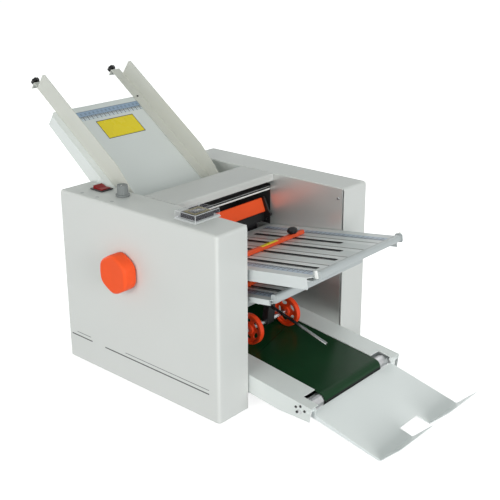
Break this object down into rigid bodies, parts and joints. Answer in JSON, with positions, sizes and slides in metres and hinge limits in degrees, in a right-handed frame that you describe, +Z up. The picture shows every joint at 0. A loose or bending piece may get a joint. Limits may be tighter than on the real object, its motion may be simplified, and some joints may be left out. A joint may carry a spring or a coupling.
{
  "type": "paper folding machine",
  "caption": "Desktop paper folding machine with sloping feed tray, geared fold rollers, slotted fold plates, belt delivery and hinged stacker tray",
  "frame": {"origin": "centre of the whole machine's outer box, at the surface that the feet stand on", "axes": "+Z up, +X the way the paper runs, from the feed tray to the stacker tray, and -Y the side with the hand knob"},
  "size_m": [0.8556, 0.4194, 0.4939],
  "materials": {
    "housing_paint": "warm grey-white powder paint, fine satin grain",
    "plate_paint": "pale satin coating that paper slides on",
    "bright_sheet": "bright plated sheet",
    "steel": "ground steel",
    "aluminium": "drawn aluminium",
    "dark_metal": "dark enamel",
    "black_plastic": "fine matt grain",
    "grey_plastic": "matt",
    "orange_plastic": "moulded, half gloss",
    "red_plastic": "moulded, glossy",
    "clear_plastic": "clear moulded plastic",
    "foot_rubber": "matt",
    "belt_rubber": "matt, fabric backed",
    "roller_rubber": "ground rubber on a steel core",
    "green_belt": "smooth dark green conveyor belting",
    "white_nylon": "moulded nylon"
  },
  "bodies": {
    "frame": {"left_housing": "housing_paint", "right_housing": "housing_paint", "left_side_plate": "bright_sheet", "right_side_plate": "bright_sheet", "base_plate": "housing_paint", "foot_front_left": "foot_rubber", "foot_front_right": "foot_rubber", "foot_rear_left": "foot_rubber", "foot_rear_right": "foot_rubber", "top_cover": "housing_paint", "cover_bar": "aluminium", "guard_plate": "orange_plastic", "guard_frame": "black_plastic", "feed_tray": "housing_paint", "separator_pad": "foot_rubber", "motor": "dark_metal", "drive_belt": "belt_rubber", "feed_belt": "belt_rubber", "upper_fold_plate": "plate_paint", "lower_fold_plate": "plate_paint", "rear_upper_plate": "plate_paint", "rear_lower_plate": "plate_paint", "exit_guide": "plate_paint", "conveyor_frame": "housing_paint", "conveyor_belt": "green_belt", "switch_bezel": "black_plastic", "counter_body": "black_plastic", "power_inlet": "black_plastic"},
    "roller_1": {"fold_roller_1": "roller_rubber", "roller_gear_1": "white_nylon"},
    "roller_2": {"fold_roller_2": "roller_rubber", "roller_gear_2": "white_nylon", "hand_knob": "orange_plastic"},
    "roller_3": {"fold_roller_3": "roller_rubber", "roller_gear_3": "white_nylon"},
    "roller_4": {"fold_roller_4": "roller_rubber", "roller_gear_4": "white_nylon"},
    "roller_5": {"fold_roller_5": "roller_rubber", "roller_gear_5": "white_nylon"},
    "roller_6": {"fold_roller_6": "roller_rubber", "roller_gear_6": "white_nylon"},
    "feed_shaft": {"feed_roller": "roller_rubber"},
    "motor_shaft": {"motor_pulley": "aluminium"},
    "belt_drive_shaft": {"belt_drive_roller": "steel"},
    "belt_end_shaft": {"belt_end_roller": "aluminium"},
    "left_side_guide": {"left_guide": "housing_paint"},
    "left_guide_screw": {"left_guide_knob": "black_plastic"},
    "right_side_guide": {"right_guide": "housing_paint"},
    "right_guide_screw": {"right_guide_knob": "black_plastic"},
    "upper_stop": {"upper_stop_bar": "orange_plastic"},
    "upper_stop_screw": {"upper_stop_knob": "black_plastic"},
    "lower_stop": {"lower_stop_bar": "orange_plastic"},
    "lower_stop_screw": {"lower_stop_knob": "black_plastic"},
    "press_arm": {"press_bracket": "black_plastic"},
    "left_wheel": {"left_press_wheel": "orange_plastic"},
    "right_wheel": {"right_press_wheel": "orange_plastic"},
    "stacker": {"stacker_tray": "housing_paint"},
    "switch_rocker": {"rocker": "red_plastic"},
    "speed_dial": {"speed_knob": "grey_plastic"},
    "counter_cover": {"counter_lid": "clear_plastic"}
  },
  "joints": [
    {"name": "roller_1_spin", "type": "hinge", "parent": "frame", "child": "roller_1", "pos_m": [-0.06095, 0.01375, 0.2422], "axis": [0, -1, 0], "continuous": true},
    {"name": "roller_2_spin", "type": "hinge", "parent": "frame", "child": "roller_2", "pos_m": [-0.06931, 0.01375, 0.211], "axis": [0, -1, 0], "continuous": true},
    {"name": "roller_3_spin", "type": "hinge", "parent": "frame", "child": "roller_3", "pos_m": [-0.04286, 0.01375, 0.19247], "axis": [0, -1, 0], "continuous": true},
    {"name": "roller_4_spin", "type": "hinge", "parent": "frame", "child": "roller_4", "pos_m": [-0.05122, 0.01375, 0.16127], "axis": [0, -1, 0], "continuous": true},
    {"name": "roller_5_spin", "type": "hinge", "parent": "frame", "child": "roller_5", "pos_m": [-0.02476, 0.01375, 0.14275], "axis": [0, -1, 0], "continuous": true},
    {"name": "roller_6_spin", "type": "hinge", "parent": "frame", "child": "roller_6", "pos_m": [-0.03312, 0.01375, 0.11155], "axis": [0, -1, 0], "continuous": true},
    {"name": "feed_spin", "type": "hinge", "parent": "frame", "child": "feed_shaft", "pos_m": [-0.09345, 0.01375, 0.26945], "axis": [0, -1, 0], "continuous": true},
    {"name": "motor_spin", "type": "hinge", "parent": "frame", "child": "motor_shaft", "pos_m": [-0.15861, 0.01375, 0.055], "axis": [0, -1, 0], "continuous": true},
    {"name": "belt_drive_spin", "type": "hinge", "parent": "frame", "child": "belt_drive_shaft", "pos_m": [-0.01455, 0.01375, 0.06646], "axis": [0, -1, 0], "continuous": true},
    {"name": "belt_end_spin", "type": "hinge", "parent": "frame", "child": "belt_end_shaft", "pos_m": [0.24891, 0.01375, 0.03525], "axis": [0, -1, 0], "continuous": true},
    {"name": "left_guide_slide", "type": "slide", "parent": "frame", "child": "left_side_guide", "axis": [0, 1, 0], "range_m": [-0.01, 0.06]},
    {"name": "right_guide_slide", "type": "slide", "parent": "frame", "child": "right_side_guide", "axis": [0, -1, 0], "range_m": [-0.01, 0.06]},
    {"name": "left_guide_screw_turn", "type": "hinge", "parent": "left_side_guide", "child": "left_guide_screw", "pos_m": [-0.41351, -0.0805, 0.47003], "axis": [0.8107, 0, -0.5855], "range_deg": [0, 180]},
    {"name": "right_guide_screw_turn", "type": "hinge", "parent": "right_side_guide", "child": "right_guide_screw", "pos_m": [-0.41351, 0.108, 0.47003], "axis": [0.8107, 0, -0.5855], "range_deg": [0, 180]},
    {"name": "upper_stop_slide", "type": "slide", "parent": "frame", "child": "upper_stop", "axis": [0.9897, 0, 0.1435], "range_m": [-0.08, 0.098]},
    {"name": "upper_stop_screw_turn", "type": "hinge", "parent": "upper_stop", "child": "upper_stop_screw", "pos_m": [0.08725, 0.06975, 0.24576], "axis": [-0.1435, 0, 0.9897], "range_deg": [0, 180]},
    {"name": "lower_stop_slide", "type": "slide", "parent": "frame", "child": "lower_stop", "axis": [0.9897, 0, 0.1435], "range_m": [-0.09, 0.066]},
    {"name": "lower_stop_screw_turn", "type": "hinge", "parent": "lower_stop", "child": "lower_stop_screw", "pos_m": [0.10093, 0.06975, 0.2004], "axis": [-0.1435, 0, 0.9897], "range_deg": [0, 180]},
    {"name": "press_arm_lift", "type": "hinge", "parent": "frame", "child": "press_arm", "pos_m": [0.06489, 0.01375, 0.132], "axis": [0, -1, 0], "range_deg": [0, 30]},
    {"name": "left_wheel_spin", "type": "hinge", "parent": "press_arm", "child": "left_wheel", "pos_m": [0.07859, -0.03275, 0.09732], "axis": [0, -1, 0], "continuous": true},
    {"name": "right_wheel_spin", "type": "hinge", "parent": "press_arm", "child": "right_wheel", "pos_m": [0.07859, 0.06625, 0.09732], "axis": [0, -1, 0], "continuous": true},
    {"name": "stacker_fold", "type": "hinge", "parent": "frame", "child": "stacker", "pos_m": [0.26588, 0.01375, 0.03998], "axis": [0, -1, 0], "range_deg": [0, 100]},
    {"name": "switch_rock", "type": "hinge", "parent": "frame", "child": "switch_rocker", "pos_m": [-0.17511, -0.13455, 0.3193], "axis": [0, -1, 0], "range_deg": [0, 18]},
    {"name": "speed_turn", "type": "hinge", "parent": "frame", "child": "speed_dial", "pos_m": [-0.11761, -0.13625, 0.3215], "axis": [0, 0, 1], "range_deg": [-135, 135]},
    {"name": "counter_cover_lift", "type": "hinge", "parent": "frame", "child": "counter_cover", "pos_m": [0.03714, -0.13725, 0.3234], "axis": [0, -1, 0], "range_deg": [0, 90]}
  ],
  "couplings": [
    {"joint": "roller_1_spin", "follows": "roller_2_spin", "ratio": -1},
    {"joint": "roller_3_spin", "follows": "roller_2_spin", "ratio": -1},
    {"joint": "roller_4_spin", "follows": "roller_2_spin", "ratio": 1},
    {"joint": "roller_5_spin", "follows": "roller_2_spin", "ratio": -1},
    {"joint": "roller_6_spin", "follows": "roller_2_spin", "ratio": 1},
    {"joint": "feed_spin", "follows": "roller_2_spin", "ratio": -1},
    {"joint": "motor_spin", "follows": "roller_2_spin", "ratio": 1.4444},
    {"joint": "belt_drive_spin", "follows": "roller_2_spin", "ratio": 1},
    {"joint": "belt_end_spin", "follows": "roller_2_spin", "ratio": 1}
  ]
}
